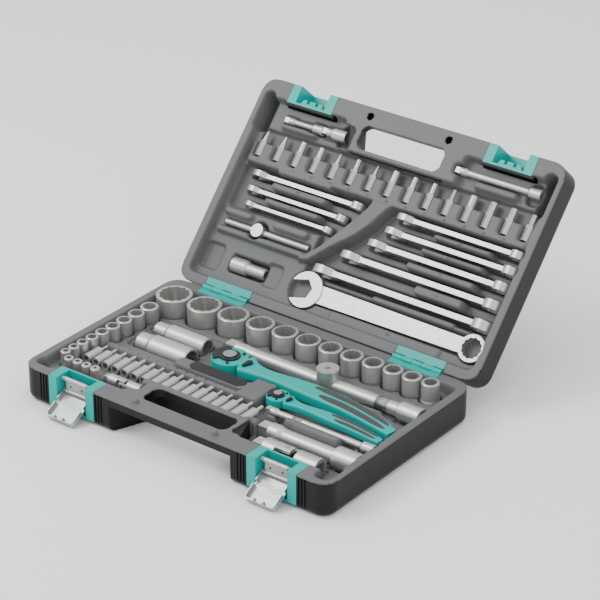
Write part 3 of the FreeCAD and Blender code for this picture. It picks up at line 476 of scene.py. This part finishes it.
def collar(name, x0, x1, v, z, radius_mm, made, body):
    """A thin sleeve round a bar that lies along the hinge direction."""
    mesh = bpy.data.meshes.new(name)
    bm = bmesh.new()
    turn = Matrix.Rotation(math.radians(90), 4, "Y")
    middle = Vector(((x0 + x1) / 2, HINGE_V - v, RIM_Z + z)) * MM
    bmesh.ops.create_cone(bm, cap_ends=True, segments=64, radius1=radius_mm * MM,
                          radius2=radius_mm * MM, depth=(x1 - x0) * MM,
                          matrix=Matrix.Translation(middle) @ turn)
    bm.to_mesh(mesh)
    bm.free()
    sleeve = bpy.data.objects.new(name, mesh)
    bpy.context.scene.collection.objects.link(sleeve)
    for face in mesh.polygons:
        face.use_smooth = len(face.vertices) == 4
    mesh.materials.append(made)
    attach(sleeve, body)


def knurled():
    """Satin chrome cut with a diamond knurl of about a millimetre."""
    made, tree, shader = new_material("Satin chrome, knurled")
    where = place_mm(tree)
    heights = []
    for turn in (45, -45):
        spun = add(tree, "Mapping", {"Vector": where}, Rotation=(0, 0, math.radians(turn)))
        heights.append(add(tree, "TexWave", {"Vector": spun.outputs["Vector"]}, Scale=0.32,
                           Distortion=0.0).outputs["Fac"])
    both = add(tree, "Math", {0: heights[0], 1: heights[1]}, operation="MULTIPLY")
    bump = add(tree, "Bump", {"Height": both.outputs[0]}, Strength=0.8, Distance=0.3 * MM)
    tree.links.new(bump.outputs["Normal"], shader.inputs["Normal"])
    shader.inputs["Base Color"].default_value = linear("#9C9C9B")
    shader.inputs["Metallic"].default_value = 1.0
    shader.inputs["Roughness"].default_value = 0.36
    return made


knurl = knurled()
collar("extension_half_long_knurl", 136, 152, 75, -12.5, 8.15, knurl, "extension_half_long")
collar("extension_quarter_long_knurl", 92, 104, 165, -7.5, 3.85, knurl,
       "extension_quarter_long")

# ---------------------------------------------------------------- ratchets
# The ratchet handles are moulded in the same teal over a steel core, with a black nylon head
# cover and selector, and two long inlays of soft black rubber set into the grip.
nylon_black = moulded("Black glass-filled nylon", "#17181A", "#1F2022", 0.34, 0.5, 0.02)


DOT_MM = 1.6


def dotted_rubber():
    """Soft rubber with rows of small raised dots."""
    made, tree, shader = new_material("Black thermoplastic rubber")
    where = place_mm(tree)
    dots = add(tree, "TexVoronoi", {"Vector": where}, Scale=1 / DOT_MM, Randomness=0.0)
    raised = add(tree, "MapRange", {"Value": dots.outputs["Distance"]}, From_Min=0.25,
                 From_Max=0.4, To_Min=1.0, To_Max=0.0)
    bump = add(tree, "Bump", {"Height": raised.outputs["Result"]}, Strength=0.6,
               Distance=0.15 * MM)
    tree.links.new(bump.outputs["Normal"], shader.inputs["Normal"])
    shader.inputs["Base Color"].default_value = linear("#3A3B3D")
    shader.inputs["Roughness"].default_value = 0.72
    return made


rubber = dotted_rubber()
for size in ("half", "quarter"):
    dress(f"ratchet_{size}_body", abs_teal)
    dress(f"ratchet_{size}_cover", nylon_black)
    dress(f"ratchet_{size}_selector", nylon_black)
    dress(f"ratchet_{size}_grips", rubber)
    for part in ("body", "cover", "selector", "grips"):
        soften(f"ratchet_{size}_{part}", 0.35)

# ---------------------------------------------------------------- shading of the CAD pieces
# Turned and moulded faces are round, so they shade smoothly up to the real edges.
for piece in nodes.values():
    if piece.data.polygons:
        piece.data.polygons.foreach_set("use_smooth", [True] * len(piece.data.polygons))
        keep = piece.modifiers.new("real edges stay crisp", "EDGE_SPLIT")
        keep.split_angle = math.radians(34)

# ---------------------------------------------------------------- floor, light and camera
# A flat sheet of white paper under even white light, with a broad key lamp at the front left,
# a weaker fill at the front right and a third lamp overhead, behind the hinge.
floor_mesh = bpy.data.meshes.new("floor")
reach = 4.0
floor_mesh.from_pydata([(-reach, -reach, 0), (reach, -reach, 0), (reach, reach, 0),
                        (-reach, reach, 0)], [], [(0, 1, 2, 3)])
floor = bpy.data.objects.new("floor", floor_mesh)
bpy.context.scene.collection.objects.link(floor)
paper, tree, shader = new_material("White backdrop paper")
shader.inputs["Base Color"].default_value = linear("#F4F4F3")
shader.inputs["Roughness"].default_value = 0.9
fibre = add(tree, "TexNoise", {"Vector": place_mm(tree)}, Scale=1 / 3)
tree.links.new(add(tree, "Bump", {"Height": fibre.outputs["Fac"]}, Strength=0.05,
                   Distance=0.05 * MM).outputs["Normal"], shader.inputs["Normal"])
floor.data.materials.append(paper)

world = bpy.data.worlds.new("studio")
bpy.context.scene.world = world
world.use_nodes = True
world.node_tree.nodes["Background"].inputs["Color"].default_value = (1, 1, 1, 1)
world.node_tree.nodes["Background"].inputs["Strength"].default_value = 1.2


def soft_light(name, place, aim, size, watts):
    """A square soft box that faces a point."""
    lamp = bpy.data.lights.new(name, "AREA")
    lamp.size, lamp.energy = size, watts
    holder = bpy.data.objects.new(name, lamp)
    holder.location = place
    holder.rotation_euler = (Vector(aim) - Vector(place)).to_track_quat("-Z", "Y").to_euler()
    bpy.context.scene.collection.objects.link(holder)


soft_light("key", (-1.0, -0.8, 1.7), (0, 0, 0.05), 0.9, 26)
soft_light("fill", (1.6, -0.8, 0.9), (0, 0, 0.1), 1.4, 8)
soft_light("top", (0.2, 0.5, 1.8), (0, 0, 0), 1.0, 6)

AZIMUTH, ELEVATION = math.radians(37.6), math.radians(27.7)
DISTANCE, SHIFT_RIGHT, SHIFT_UP = 2689, 58.3, 79.6
away = Vector((math.sin(AZIMUTH) * math.cos(ELEVATION),
               -math.cos(AZIMUTH) * math.cos(ELEVATION), math.sin(ELEVATION)))
right = Vector((math.cos(AZIMUTH), math.sin(AZIMUTH), 0))
up = away.cross(right)
lens = bpy.data.cameras.new("camera")
lens.sensor_width, lens.lens = 36, 149.9
lens.clip_start, lens.clip_end = 0.1, 20
camera = bpy.data.objects.new("camera", lens)
turn = Matrix((right, up, away)).transposed().to_4x4()
target = Vector((0, 0.3, RIM_Z)) * MM
spot = target + away * DISTANCE * MM + right * SHIFT_RIGHT * MM + up * SHIFT_UP * MM
camera.matrix_world = Matrix.Translation(spot) @ turn
bpy.context.scene.collection.objects.link(camera)
bpy.context.scene.camera = camera
